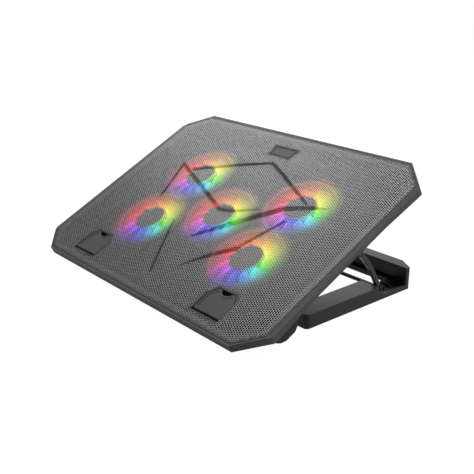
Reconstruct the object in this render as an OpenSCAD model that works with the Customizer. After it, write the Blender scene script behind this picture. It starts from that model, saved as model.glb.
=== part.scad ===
// Laptop cooling pad: a perforated fan deck that tilts on a folding stand.
// Sizes are in millimetres. The deck is drawn flat, front edge on the X axis
// and mesh face at Z = 0, then tilted about the stand's hinge axis.

/* [Deck] */
// Width of the deck over its side rims
deck_w = 360; // [350:1:372]
// Depth of the deck from its front edge to its back edge
deck_d = 257; // [254:1:264]
// Tilt of the deck in its steepest notch, in degrees
deck_tilt = 26.8; // [26.4:0.1:27.2]
// Height of the rim wall
rim_h = 8; // [7.5:0.1:8.5]
// Thickness of the rim wall
rim_wall = 2.4; // [2:0.1:2.8]
// Width of the sloped band on the left and right rims
rim_bevel = 5; // [4:0.1:6]
// Fall of that band towards its outer edge
rim_drop = 1; // [0.5:0.1:2]
// Flat lip in front of and behind the mesh
rim_lip = 2; // [1.5:0.1:3]
// Flat lip along the cut corners
corner_lip = 1.5; // [1:0.1:2]
// Cut of the front corners across the deck
front_cut_x = 28; // [24:0.5:32]
// Cut of the front corners along the deck
front_cut_y = 25.5; // [22:0.5:29]
// Cut of the back corners across the deck
back_cut_x = 30; // [26:0.5:34]
// Cut of the back corners along the deck
back_cut_y = 28.5; // [25:0.5:32]
// Length of the arch under each side rim
arch_l = 190; // [170:1:200]
// Length of the arch's level top
arch_flat = 72; // [50:1:90]
// Rise of the arch
arch_rise = 3.3; // [2:0.1:4]

/* [Mesh panel] */
// Thickness of the steel sheet
mesh_t = 0.8; // [0.6:0.1:1.2]
// Gap between the sheet and the frame round it
mesh_gap = 0.3; // [0.2:0.05:0.5]
// Width of the ledge that carries the sheet
ledge_w = 8; // [7.5:0.1:9]
// Thickness of that ledge
ledge_t = 2.2; // [1.8:0.1:2.6]
// Distance between neighbouring holes, drawn coarse
perf_pitch = 12; // [11:0.5:20]
// Diameter of a hole
perf_d = 7.6; // [5:0.1:8.5]
// Plain border round the holes
perf_border = 9; // [8:0.5:14]
// Width of the two broad creases on the right; the others are narrower in proportion
crease_w = 6; // [4:0.1:6.4]
// Depth of the pressed creases
crease_depth = 0.3; // [0.2:0.05:0.4]

/* [Bottom cover] */
// Thickness of the cover's floor and flange
cover_t = 2; // [1.8:0.1:2.4]
// Gap between the flange and the rim wall
cover_gap = 0.3; // [0.2:0.05:0.5]
// Distance from the deck's side edge to the tray under it
tray_side = 12; // [11:0.5:13]
// Distance from the deck's front edge to the tray
tray_front = 14; // [13:0.5:16]
// Distance from the deck's back edge to the tray
tray_back = 17; // [14:0.5:18]
// Depth of the tray below the rim
tray_depth = 12; // [11.5:0.1:12.5]
// Slope of the tray's side walls, measured across
tray_draft = 5; // [3:0.5:6]
// Slope of the tray's front wall, measured along the deck
tray_front_draft = 12; // [11:0.5:14]
// Thickness of the tray's walls
tray_wall = 2.4; // [2:0.1:3]
// Cut of the tray's corners
tray_cut = 30; // [24:1:36]
// Width of each corner skid
skid_w = 20; // [16:0.5:24]
// Distance from the deck's side edge to a skid
skid_inset = 8; // [7:0.5:10]
// Depth of a skid below the rim
skid_depth = 16; // [14:0.5:16.5]

/* [Fans] */
// Sideways distance of the outer fans from the middle fan
fan_dx = 78; // [76:0.5:80]
// Distance of the middle fan in front of the middle of the other four
fan_lead = 4; // [0:0.5:6]
// Diameter of a fan's opening, made smaller where the deck has less room
fan_bore_most = 72; // [66:0.5:72]
// Gap between the stop pockets and the front fans
fan_front_gap = 2.7; // [2:0.1:4]
// Gap between the back fans and the control board, where the leads run
fan_back_gap = 10.3; // [9.5:0.1:12]
// Least gap between two light rings
fan_between = 0.2; // [0.2:0.1:1]
// Gap between the blade tips and the opening
tip_gap = 2; // [1.5:0.1:3]
// Wall of the ring round each fan
shroud_t = 2; // [1.6:0.1:2.4]
// Height of that ring above the tray's floor
shroud_h = 11.4; // [11:0.1:12]
// Diameter of an impeller's hub
hub_d = 33; // [31:0.5:35]
// Height of the hub
hub_h = 9; // [8.5:0.1:9.5]
// Wall of the hub
hub_wall = 2; // [1.6:0.1:2.4]
// Gap between the tray's floor and the impeller
fan_lift = 2; // [1.8:0.1:2.4]
// Number of blades
blade_count = 11; // [7:1:11]
// Thickness of a blade
blade_t = 1.4; // [1:0.1:2]
// Pitch of a blade at its root, in degrees
blade_root_pitch = 36; // [30:1:40]
// Pitch of a blade at its tip, in degrees
blade_tip_pitch = 18; // [14:1:20]
// Sweep of a blade from root to tip, in degrees
blade_sweep = 24; // [10:1:30]
// Number of bars in each fan's finger guard
guard_bars = 14; // [10:2:14]
// Width of those bars
guard_w = 2; // [1.6:0.1:2.2]
// Diameter of the fan shafts
shaft_d = 3; // [2.5:0.1:3.5]
// Diameter of the stator
stator_d = 24; // [22:0.5:26]
// Height of the stator
stator_h = 4.6; // [4:0.1:5]
// Thickness of the light rings
light_ring_t = 2; // [1.6:0.1:2.4]
// Overhang of a light ring past the fan's wall
light_ring_over = 0.5; // [0.3:0.1:0.8]

/* [Laptop stops] */
// Width of a stop flap
stop_w = 36; // [32:0.5:40]
// Depth of a stop flap
stop_d = 28.7; // [26:0.1:32]
// Thickness of a stop flap
stop_t = 3; // [2.6:0.1:3.4]
// Distance from the deck's side edge to a flap's middle
stop_side = 77; // [72:0.5:82]
// Distance from the deck's front edge to a flap
stop_front = 16.3; // [15.5:0.1:18]
// Cut of a flap's back corners across
stop_cut_x = 7; // [5:0.5:9]
// Cut of a flap's back corners along the deck
stop_cut_y = 9; // [6:0.5:11]
// Width of the finger notch in a flap's back edge
stop_notch_w = 14; // [10:0.5:16]
// Depth of that notch
stop_notch_depth = 4.5; // [3:0.1:6]
// Diameter of a flap's hinge pin
stop_pin_d = 1.6; // [1.4:0.1:1.8]
// Gap round a flap in its pocket
stop_gap = 0.6; // [0.4:0.1:0.8]
// Gap in front of a flap
stop_nose_gap = 1.6; // [1.4:0.1:2]
// Wall and floor of a flap's pocket
pocket_wall = 1.6; // [1.4:0.1:2]

/* [Name plate] */
// Width of the bare plate
plate_w = 33; // [28:0.5:38]
// Depth of the bare plate
plate_d = 13.6; // [11:0.1:16]
// Distance from the deck's back edge to the plate's middle
plate_back = 29; // [26:0.5:32]
// Narrowing of the plate towards the front, each side
plate_taper = 2; // [0:0.5:4]
// Flange that holds the plate under the mesh
plate_flange = 2; // [1.5:0.1:3]

/* [Controls] */
// Width of the control board
board_w = 176; // [170:1:190]
// Depth of the control board
board_d = 18; // [16:0.5:19]
// Thickness of the control board
board_t = 1.6; // [1.2:0.1:1.8]
// Height of the board above the tray's floor
board_lift = 1.8; // [1.7:0.1:2]
// Distance of the power sockets from the middle
socket_x = 16; // [12:0.5:20]
// Distance of the push buttons from the middle
button_x = 44; // [34:0.5:60]
// Diameter of a push button
button_d = 6; // [5.4:0.1:6.2]
// Travel of a push button
button_travel = 1; // [0.6:0.1:1.2]
// Height of a button outside the wall
button_proud = 1.5; // [1.3:0.1:2.5]
// Diameter of each wire in the fans' twin leads
wire_d = 1.4; // [1:0.1:1.6]

/* [Fasteners] */
// Shank diameter of the cover screws
screw_d = 2.2; // [2:0.1:2.4]
// Head diameter of the cover screws
screw_head_d = 4.6; // [4.2:0.1:5]
// Head height of the cover screws
screw_head_h = 1.2; // [1:0.1:1.3]
// Diameter of the screw bosses
boss_d = 7; // [6.5:0.1:7.2]
// Distance between the screws along each side
screw_step_y = 68.5; // [60:0.5:72]
// Distance between the screws along the front and the back
screw_step_x = 60; // [50:0.5:64]
// Distance from a front corner cut to the outermost screws
screw_corner = 20; // [16:0.5:24]
// Running clearance of every pin in its bore, on the radius
run_gap = 0.05; // [0.02:0.01:0.08]

/* [Tilt hinge] */
// Distance from the deck's front edge back to the hinge axis
hinge_y = 59; // [57:0.5:61]
// Depth of the hinge axis below the mesh face
hinge_depth = 27; // [26.6:0.1:27.6]
// Height of the hinge axis above the table
hinge_h = 9.8; // [9.4:0.1:10.4]
// Radius of the hinge lugs and knuckles
lug_r = 6; // [5.4:0.1:6.2]
// Diameter of the hinge pins
hinge_pin_d = 5; // [4:0.1:6]
// Distance from the stand's side to the middle of a knuckle
knuckle_side = 35.5; // [33.5:0.5:41.5]
// Width of a knuckle
knuckle_w = 19; // [16:0.5:20]
// Width of each lug beside a knuckle
lug_w = 10; // [8:0.5:11]
// Side gap between a knuckle and its lugs
lug_gap = 0.4; // [0.3:0.05:0.6]

/* [Prop] */
// Distance from the deck's front edge back to the prop's axis
prop_y = 154; // [153:0.5:155]
// Depth of the prop's axis below the mesh face
prop_depth = 25; // [24.8:0.1:25.6]
// Length of a prop link from axis to axis
prop_l = 58; // [57:0.5:59]
// Height of the prop's rod above the table
rod_h = 9; // [8.8:0.1:9.6]
// Distance of the links from the stand's sides
link_side = 8.5; // [6.5:0.5:13.5]
// Thickness of a link
link_t = 4; // [3:0.1:4.4]
// Width of a link's bar
link_bar = 4.6; // [4:0.1:4.8]
// Distance of a link's bend from its upper axis
link_bend_l = 18; // [14:0.5:24]
// Offset of the bend towards the deck
link_bend = 5.8; // [3:0.1:6]
// Radius of a link's upper eye
link_eye_r = 4; // [3.4:0.1:4.2]
// Radius of a link's foot
link_foot_r = 3.4; // [3:0.1:3.6]
// Diameter of the cross rod and of the pins at the deck
rod_d = 4; // [3.4:0.1:4.2]
// Length of the rod past each link
rod_over = 1.5; // [1:0.1:1.8]
// Room kept open in front of the rod, above the notches
rod_room = 9; // [8:0.1:9.2]
// Clearance round the way of the rod and of the links' feet
way_gap = 0.3; // [0.2:0.1:0.5]
// Width of each lug that holds a link
prop_lug_w = 3; // [2.4:0.1:3.4]

/* [Stand] */
// Distance from the deck's side edge to the stand
base_side = 16.5; // [15:0.5:17.5]
// Depth of the stand
base_d = 150; // [148:0.5:152]
// Distance from the hinge axis back to the stand's front face
base_front = 14.7; // [14:0.1:16]
// Width of each side arm
arm_w = 22.5; // [20:0.1:24]
// Height of the arms and of the front bar
arm_h = 14.3; // [13.6:0.1:14.4]
// Length of the raised part of each arm
arm_l = 96; // [90:0.5:97]
// Depth of the front bar
front_bar_d = 18; // [14:0.5:24]
// Depth of the rear bar
rear_bar_d = 13.9; // [13:0.1:15]
// Height of the rear bar
rear_bar_h = 23.2; // [21:0.1:24]
// Cut of the rear corners across the stand
rear_cut_x = 16.5; // [12:0.5:20]
// Cut of the rear corners along the stand
rear_cut_y = 9.3; // [6:0.1:11]
// Radius of the front corners
base_corner_r = 4; // [2:0.5:6]
// Wall left round the hollows under the stand
stand_wall = 2.4; // [2:0.1:3]
// Number of hollows under each arm
arm_cells = 3; // [2:1:4]
// Number of hollows under the front bar
bar_cells = 10; // [8:1:12]
// Height of the floor between the notches
notch_floor = 2.8; // [2.4:0.1:3.4]
// Height of the outer lip beside the notches
notch_lip = 5.6; // [4.6:0.1:6]
// Thickness of that lip
lip_t = 2.4; // [2:0.1:3]
// Number of notches
notch_count = 4; // [3:1:4]
// Distance between notches
notch_pitch = 8; // [7.5:0.1:8.4]
// Height of the ratchet teeth above the table
tooth_top = 6; // [5:0.1:6.1]
// Width of a ratchet tooth at its foot
tooth_w = 3.6; // [3:0.1:4]
// Lower edge of the slot in the rear bar
slot_low = 5.6; // [5.2:0.1:5.8]
// Upper edge of the slot in the rear bar
slot_high = 16.6; // [16.4:0.1:18]
// Depth of the slot in the rear bar
slot_depth = 5.2; // [5.1:0.1:5.4]
// Diameter of the rubber feet
foot_d = 12; // [10:0.5:14]
// Height of a foot below the stand
foot_proud = 0.6; // [0.4:0.1:1]
// Depth of a foot's seat in the stand
foot_seat = 1.4; // [1:0.1:2]

/* [Hidden] */
$fn = 64;
// Overshoot of every cut past the face that it opens
over = 1;
// Overlap of a piece fused into its neighbour
weld = 0.5;

front_cut = [front_cut_x, front_cut_y];
back_cut = [back_cut_x, back_cut_y];
floor_z = cover_t - rim_h - tray_depth;
tray_z = -rim_h - tray_depth;
tray_y0 = tray_front;
tray_y1 = deck_d - tray_back;
rear_wall_in = tray_y1 - tray_wall;
ledge_z = -mesh_t - ledge_t;
flange_z = cover_t - rim_h;
tray_w = deck_w - 2 * tray_side;
base_w = deck_w - 2 * base_side;
stop_x = deck_w / 2 - stop_side;
knuckle_x = base_w / 2 - knuckle_side;
link_x = base_w / 2 - link_side;
socket_size = [13.2, 14, 5.7];
collar_t = 1.6;
collar_gap = 0.3;
board_y1 = rear_wall_in - collar_gap - collar_t - button_travel - 0.3;
// The fans fill the room between the stop pockets and the control board
fan_room_y0 = stop_front + stop_d + stop_gap + pocket_wall + plate_flange + fan_front_gap;
fan_room_y1 = board_y1 - board_d - fan_back_gap;
ring_over = shroud_t + light_ring_over;
fan_bore = min(fan_bore_most, (fan_room_y1 - fan_room_y0 - fan_between) / 2 - 2 * ring_over);
front_fan_y = fan_room_y0 + fan_bore / 2 + ring_over;
back_fan_y = fan_room_y1 - fan_bore / 2 - ring_over;
fan_places = [
    [-fan_dx, front_fan_y],
    [fan_dx, front_fan_y],
    [0, (front_fan_y + back_fan_y) / 2 - fan_lead],
    [-fan_dx, back_fan_y],
    [fan_dx, back_fan_y],
];
// Direction in which each fan's wires leave it, in degrees
wire_turn = [180, 0, 90, 90, 90];
fan_count = len(fan_places);
impeller_z = floor_z + fan_lift;
impeller_r = fan_bore / 2 - tip_gap;
motor_base_t = 1.2;
motor_base_d = hub_d - 5;
tube_d = shaft_d + 4;
tube_top = impeller_z + hub_h - hub_wall - 0.6;
shroud_r = fan_bore / 2 + shroud_t;
shroud_z = floor_z + shroud_h;

hinge_world_y = -((deck_d - 2 * hinge_y) * cos(deck_tilt)
    - (2 * hinge_depth - rim_h) * sin(deck_tilt)) / 2;
base_y0 = hinge_world_y + base_front;
base_y1 = base_y0 + base_d;
rear_bar_y = base_y1 - rear_bar_d;
function on_tilt(y, z) = [
    hinge_world_y + (y - hinge_y) * cos(deck_tilt) - (z + hinge_depth) * sin(deck_tilt),
    hinge_h + (y - hinge_y) * sin(deck_tilt) + (z + hinge_depth) * cos(deck_tilt),
];
prop_axis = on_tilt(prop_y, -prop_depth);
prop_lean = asin((prop_axis[1] - rod_h) / prop_l);
rod_y = prop_axis[0] + prop_l * cos(prop_lean);

stop_axis_y = stop_front + stop_t / 2;
stop_sink = 0.2;
stop_axis_z = -stop_sink - stop_t / 2;
pocket_floor_z = -stop_sink - stop_t - stop_gap;
notch_r = (pow(stop_notch_w / 2, 2) + pow(stop_notch_depth, 2)) / (2 * stop_notch_depth);
window_edge = stop_gap + pocket_wall + mesh_gap;
board_z = floor_z + board_lift;
board_top = board_z + board_t;
button_z = board_top + 3.1;
switch_y = board_y1 - 5;

// Corner cut of an outline drawn inside the deck's own, by side, lip and diagonal distance
function inner_cut(cut, side, lip, diagonal) = [
    cut.x - side - (lip * cut.x - diagonal * norm(cut)) / cut.y,
    cut.y - side * cut.y / cut.x + diagonal * norm(cut) / cut.x - lip,
];
function octagon(half_w, y0, y1, front, back) = [
    [half_w - front.x, y0], [half_w, y0 + front.y],
    [half_w, y1 - back.y], [half_w - back.x, y1],
    [back.x - half_w, y1], [-half_w, y1 - back.y],
    [-half_w, y0 + front.y], [front.x - half_w, y0],
];
function deck_outline(side, lip, diagonal) = octagon(
    deck_w / 2 - side, lip, deck_d - lip,
    inner_cut(front_cut, side, lip, diagonal), inner_cut(back_cut, side, lip, diagonal)
);
function mesh_outline(inset) =
    deck_outline(rim_bevel + inset, rim_lip + inset, corner_lip + inset);
// Outline of the tray, offset inwards by wall, at a level from 0 (rim) to 1 (floor)
function tray_outline(wall, level) = octagon(
    tray_w / 2 - wall - level * tray_draft,
    tray_y0 + wall + level * tray_front_draft, tray_y1 - wall,
    [tray_cut, tray_cut], [tray_cut, tray_cut]
);

module on_deck() {
    translate([0, hinge_world_y, hinge_h])
        rotate([deck_tilt, 0, 0])
            translate([0, -hinge_y, hinge_depth]) children();
}
// Extrudes a drawing made in the Y Z plane along X, from x0 to x1
module along_x(x0, x1) {
    translate([x0, 0, 0]) rotate([90, 0, 90]) linear_extrude(x1 - x0) children();
}
module slab(z0, z1, outline) {
    translate([0, 0, z0]) linear_extrude(z1 - z0) polygon(outline);
}
// Solid between two outlines of equally many points
module loft(low, z0, high, z1) {
    n = len(low);
    polyhedron(
        points = concat([for (p = low) [p.x, p.y, z0]], [for (p = high) [p.x, p.y, z1]]),
        faces = concat(
            [[for (i = [0:n - 1]) i]],
            [[for (i = [n - 1:-1:0]) n + i]],
            [for (i = [0:n - 1]) [i, n + i, n + (i + 1) % n, (i + 1) % n]]
        )
    );
}
function unit(v) = v / norm(v);
function left_of(v) = [-v.y, v.x];
function between(a, b, t) = a + (b - a) * t;
// One edge of a band along a line of points, mitred where the line turns
function band_edge(line, offset) = [
    for (i = [0:len(line) - 1])
        let (
            here = unit(line[max(i, 1)] - line[max(i, 1) - 1]),
            next = i < len(line) - 1 ? unit(line[i + 1] - line[i]) : here,
            mitre = unit(left_of(here) + left_of(next))
        )
        line[i] + mitre * offset / (mitre * left_of(here))
];
module band_2d(line, width) {
    right = band_edge(line, -width / 2);
    polygon(concat(band_edge(line, width / 2), [for (i = [len(line) - 1:-1:0]) right[i]]));
}

// Flap and pocket outlines, drawn for the right side about the flap's middle
function flap_outline(grow, nose) = [
    [-stop_w / 2 - grow, stop_front - nose],
    [stop_w / 2 + grow, stop_front - nose],
    [stop_w / 2 + grow, stop_front + stop_d - stop_cut_y + grow / 2],
    [stop_w / 2 - stop_cut_x + grow / 2, stop_front + stop_d + grow],
    [stop_cut_x - stop_w / 2 - grow / 2, stop_front + stop_d + grow],
    [-stop_w / 2 - grow, stop_front + stop_d - stop_cut_y + grow / 2],
];
module pocket_2d(grow) {
    polygon(flap_outline(stop_gap + grow, stop_nose_gap + grow));
}
// Finger notch in the middle of a flap's back edge
module notch_2d(grow) {
    translate([0, stop_front + stop_d - stop_notch_depth + notch_r]) circle(r = notch_r + grow);
}
module at_stop(side) {
    translate([side * stop_x, 0, 0]) mirror([side < 0 ? 1 : 0, 0, 0]) children();
}

// Crease lines of the mesh, each with its width; the right half differs from the left
creases = [
    [crease_w, [[4, 85.5], [29, 112], [72, 155], [115, 171.5]]],
    [crease_w, [[25, 46.5], [49, 75.5], [66, 90], [69, 99], [85, 140]]],
    [crease_w * 0.75, [[-87, 168], [2, 208], [88, 169]]],
    [crease_w * 0.75, [[-111, 171], [2, 127], [19, 130.5], [46, 144]]],
    [crease_w * 0.35, [[-106, 162], [-88.5, 115.5]]],
    [crease_w * 0.35, [[-38, 95], [2, 29]]],
];
function line_distance(p, a, b) =
    let (t = max(0, min(1, (p - a) * (b - a) / ((b - a) * (b - a)))))
        norm(p - between(a, b, t));
function near_crease(p) = len([
    for (crease = creases, i = [1:len(crease[1]) - 1])
        if (line_distance(p, crease[1][i - 1], crease[1][i]) < (crease[0] + perf_d) / 2 + 0.4) 1
]) > 0;
function inside(p, outline) = len([
    for (i = [0:len(outline) - 1])
        let (a = outline[i], b = outline[(i + 1) % len(outline)])
            if ((b.x - a.x) * (p.y - a.y) - (b.y - a.y) * (p.x - a.x) < 0) 1
]) == 0;
function near_stop(p) =
    abs(abs(p.x) - stop_x) < stop_w / 2 + window_edge + over + perf_d / 2
    && p.y < stop_front + stop_d + window_edge + over + perf_d / 2;
function near_plate(p) =
    abs(p.x) < plate_w / 2 + perf_d && abs(p.y - deck_d + plate_back) < plate_d / 2 + perf_d;
row_step = perf_pitch * sqrt(3) / 2;
hole_rows = floor(deck_d / 2 / row_step);
hole_columns = floor(deck_w / 2 / perf_pitch);
holes = [
    for (row = [-hole_rows:hole_rows], column = [-hole_columns:hole_columns])
        let (p = [(column + abs(row % 2) / 2) * perf_pitch, deck_d / 2 + row * row_step])
            if (inside(p, mesh_outline(perf_border)) && !near_stop(p) && !near_plate(p) && !near_crease(p)) p
];

module mesh_panel() {
    color("#6a6a6c") on_deck() difference() {
        translate([0, 0, -mesh_t]) linear_extrude(mesh_t) difference() {
            polygon(mesh_outline(mesh_gap));
            for (p = holes) translate(p) circle(d = perf_d, $fn = 24);
            for (side = [-1, 1])
                translate([side * stop_x, 0]) mirror([side < 0 ? 1 : 0, 0])
                    pocket_2d(pocket_wall + mesh_gap);
            plate_2d(mesh_gap);
        }
        translate([0, 0, -crease_depth]) linear_extrude(crease_depth + over)
            for (crease = creases) band_2d(crease[1], crease[0]);
    }
}

screw_side_x = deck_w / 2 - rim_wall - boss_d / 2 - 1;
screw_end_y = rim_wall + boss_d / 2 + 1;
screw_places = concat(
    [for (side = [-1, 1], i = [-1:1]) [side * screw_side_x, deck_d / 2 + i * screw_step_y]],
    [for (i = [-1:1], y = [screw_end_y, deck_d - screw_end_y]) [i * screw_step_x, y]],
    [for (side = [-1, 1], y = [screw_end_y, deck_d - screw_end_y])
        [side * (deck_w / 2 - front_cut_x - screw_corner), y]]
);

module deck_frame() {
    color("#5a5a5c") on_deck() difference() {
        union() {
            difference() {
                slab(-rim_h, 0, deck_outline(0, 0, 0));
                slab(-rim_h - over, ledge_z, deck_outline(rim_wall, rim_wall, rim_wall));
                slab(-rim_h - over, over, mesh_outline(ledge_w));
            }
            for (p = screw_places)
                translate([p.x, p.y, flange_z]) cylinder(d = boss_d, h = ledge_z - flange_z + weld);
        }
        slab(-mesh_t, over, mesh_outline(0));
        for (p = screw_places)
            translate([p.x, p.y, flange_z - over]) cylinder(d = screw_d, h = over - flange_z - mesh_t - 0.6);
        for (side = [0, 1]) mirror([side, 0, 0]) {
            // Sloped band along the side
            translate([0, deck_d + over, 0]) rotate([90, 0, 0]) linear_extrude(deck_d + 2 * over)
                polygon([
                    [deck_w / 2 - rim_bevel, 0],
                    [deck_w / 2 + rim_bevel, -2 * rim_drop],
                    [deck_w / 2 + rim_bevel, over],
                    [deck_w / 2 - rim_bevel, over],
                ]);
            // Arch under the side
            along_x(deck_w / 2 - rim_wall - over, deck_w / 2 + over)
                polygon([
                    [deck_d / 2 - arch_l / 2, -rim_h],
                    [deck_d / 2 - arch_flat / 2, arch_rise - rim_h],
                    [deck_d / 2 + arch_flat / 2, arch_rise - rim_h],
                    [deck_d / 2 + arch_l / 2, -rim_h],
                    [deck_d / 2 + arch_l / 2, -rim_h - over],
                    [deck_d / 2 - arch_l / 2, -rim_h - over],
                ]);
        }
    }
}

// Finger guard left standing in a fan's opening: bars across, a rib along the deck, a plate for the motor
module guard_2d() {
    bar_step = fan_bore / (guard_bars + 1);
    circle(d = hub_d);
    for (bar = [1:guard_bars])
        translate([0, bar * bar_step - fan_bore / 2]) square([fan_bore + over, guard_w], center = true);
    square([2 * guard_w, fan_bore + over], center = true);
}
skid_x1 = deck_w / 2 - skid_inset;
skid_profile = [
    [26, -rim_h + weld], [31, -rim_h - skid_depth * 0.6],
    [35, -rim_h - skid_depth * 0.85], [41, -rim_h - skid_depth],
    [52, -rim_h - skid_depth], [57, -rim_h - skid_depth * 0.8],
    [64, -rim_h + weld],
];
knuckle_x0 = knuckle_x - knuckle_w / 2;
knuckle_x1 = knuckle_x + knuckle_w / 2;
link_x0 = link_x - link_t / 2;
link_x1 = link_x + link_t / 2;
prop_gap = 0.3;

// Lug below the tray, round an axis across the deck
module lug(x0, x1, y, z, r) {
    along_x(x0, x1) {
        translate([y, z]) circle(r = r);
        translate([y - r, z]) square([2 * r, tray_z + weld - z]);
    }
}
module bottom_cover() {
    color("#2c2c2e") on_deck() difference() {
        union() {
            difference() {
                union() {
                    slab(-rim_h, flange_z, deck_outline(
                        rim_wall + cover_gap, rim_wall + cover_gap, rim_wall + cover_gap));
                    loft(tray_outline(0, 1), tray_z, tray_outline(0, 0), weld - rim_h);
                    for (side = [0, 1]) mirror([side, 0, 0]) along_x(skid_x1 - skid_w, skid_x1)
                        polygon(skid_profile);
                }
                loft(tray_outline(tray_wall, 1), floor_z, tray_outline(tray_wall, 0), weld - rim_h);
                slab(-rim_h, flange_z + over, tray_outline(tray_wall, 0));
            }
            for (p = fan_places) translate([p.x, p.y, floor_z - weld])
                cylinder(r = shroud_r, h = shroud_h + weld);
            // Posts under the flap pockets and the control board
            for (side = [-1, 1], share = [0.4, 0.8])
                translate([side * stop_x, stop_front + share * stop_d, floor_z - weld])
                    cylinder(d = 6, h = pocket_floor_z - pocket_wall - floor_z + weld);
            for (side = [-1, 1], y = [4, board_d - 4])
                translate([side * (board_w / 2 - 5), board_y1 - y, floor_z - weld])
                    cylinder(d = 5, h = board_lift + weld);
            for (side = [0, 1]) mirror([side, 0, 0]) {
                lug(knuckle_x0 - lug_gap - lug_w, knuckle_x0 - lug_gap, hinge_y, -hinge_depth, lug_r);
                lug(knuckle_x1 + lug_gap, knuckle_x1 + lug_gap + lug_w, hinge_y, -hinge_depth, lug_r);
                lug(link_x0 - prop_gap - prop_lug_w, link_x0 - prop_gap, prop_y, -prop_depth, link_eye_r);
                lug(link_x1 + prop_gap, link_x1 + prop_gap + prop_lug_w, prop_y, -prop_depth, link_eye_r);
            }
        }
        for (i = [0:fan_count - 1]) translate([fan_places[i].x, fan_places[i].y, 0]) {
            translate([0, 0, floor_z]) cylinder(d = fan_bore, h = shroud_h + over);
            translate([0, 0, tray_z - over]) linear_extrude(cover_t + 2 * over) difference() {
                circle(d = fan_bore);
                guard_2d();
            }
            // Notch for the wires
            rotate(wire_turn[i]) translate([fan_bore / 2 - over, -wire_d, floor_z])
                cube([shroud_t + 2 * over, 2 * wire_d, 2 * wire_d]);
        }
        for (p = screw_places) translate([p.x, p.y, -rim_h - over]) {
            cylinder(d = screw_d + 0.4, h = cover_t + 2 * over);
            cylinder(d = screw_head_d + 0.4, h = screw_head_h + over);
        }
        for (side = [-1, 1]) {
            translate([side * socket_x - socket_size.x / 2 - 0.2, rear_wall_in - over, board_top - 0.2])
                cube([socket_size.x + 0.4, tray_wall + 2 * over, socket_size.z + 0.4]);
            translate([side * button_x, tray_y1 + over, button_z]) rotate([90, 0, 0])
                cylinder(d = button_d + 0.4, h = tray_wall + 2 * over);
        }
        for (side = [0, 1]) mirror([side, 0, 0]) {
            along_x(knuckle_x0 - lug_gap - lug_w - over, knuckle_x1 + lug_gap + lug_w + over)
                translate([hinge_y, -hinge_depth]) circle(d = hinge_pin_d);
            along_x(link_x0 - prop_gap - prop_lug_w - over, link_x1 + prop_gap + prop_lug_w + over)
                translate([prop_y, -prop_depth]) circle(d = rod_d);
        }
    }
}

module plate_2d(grow) {
    translate([0, deck_d - plate_back]) polygon([
        [plate_taper - plate_w / 2 - grow, -plate_d / 2 - grow],
        [plate_w / 2 - plate_taper + grow, -plate_d / 2 - grow],
        [plate_w / 2 + grow, plate_d / 2 + grow],
        [-plate_w / 2 - grow, plate_d / 2 + grow],
    ]);
}
module name_plate() {
    color("#3b3b3d") on_deck() {
        translate([0, 0, -mesh_t - weld]) linear_extrude(mesh_t + weld) plate_2d(0);
        translate([0, 0, -mesh_t - cover_t]) linear_extrude(cover_t) plate_2d(plate_flange);
    }
}

module stop_housing(side) {
    color("#343436") on_deck() at_stop(side) difference() {
        union() {
            translate([0, 0, pocket_floor_z - pocket_wall])
                linear_extrude(pocket_wall - pocket_floor_z) pocket_2d(pocket_wall);
            translate([0, 0, -mesh_t - pocket_wall]) linear_extrude(pocket_wall)
                pocket_2d(pocket_wall + plate_flange);
        }
        translate([0, 0, pocket_floor_z]) linear_extrude(over - pocket_floor_z) pocket_2d(0);
        along_x(-stop_w, stop_w) translate([stop_axis_y, stop_axis_z]) circle(d = stop_pin_d);
    }
}
module stop_flap(side) {
    panel_inset = 2;
    panel_depth = 0.4;
    color("#454547") on_deck() at_stop(side) difference() {
        union() {
            translate([0, 0, stop_axis_z - stop_t / 2]) linear_extrude(stop_t) difference() {
                polygon(flap_outline(0, -stop_t / 2));
                notch_2d(0);
            }
            along_x(-stop_w / 2, stop_w / 2) translate([stop_axis_y, stop_axis_z]) circle(d = stop_t);
        }
        along_x(-stop_w, stop_w) translate([stop_axis_y, stop_axis_z])
            circle(d = stop_pin_d + 2 * run_gap);
        translate([0, 0, -stop_sink - panel_depth]) linear_extrude(panel_depth + over) difference() {
            polygon(flap_outline(-panel_inset, -stop_t / 2 - panel_inset));
            notch_2d(panel_inset);
        }
    }
}
module stop_pin(side) {
    half = stop_w / 2 + stop_gap + pocket_wall;
    color("silver") on_deck() at_stop(side)
        along_x(-half, half) translate([stop_axis_y, stop_axis_z]) circle(d = stop_pin_d);
}

module at_fan(i) {
    on_deck() translate([fan_places[i - 1].x, fan_places[i - 1].y, 0]) children();
}
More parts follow.
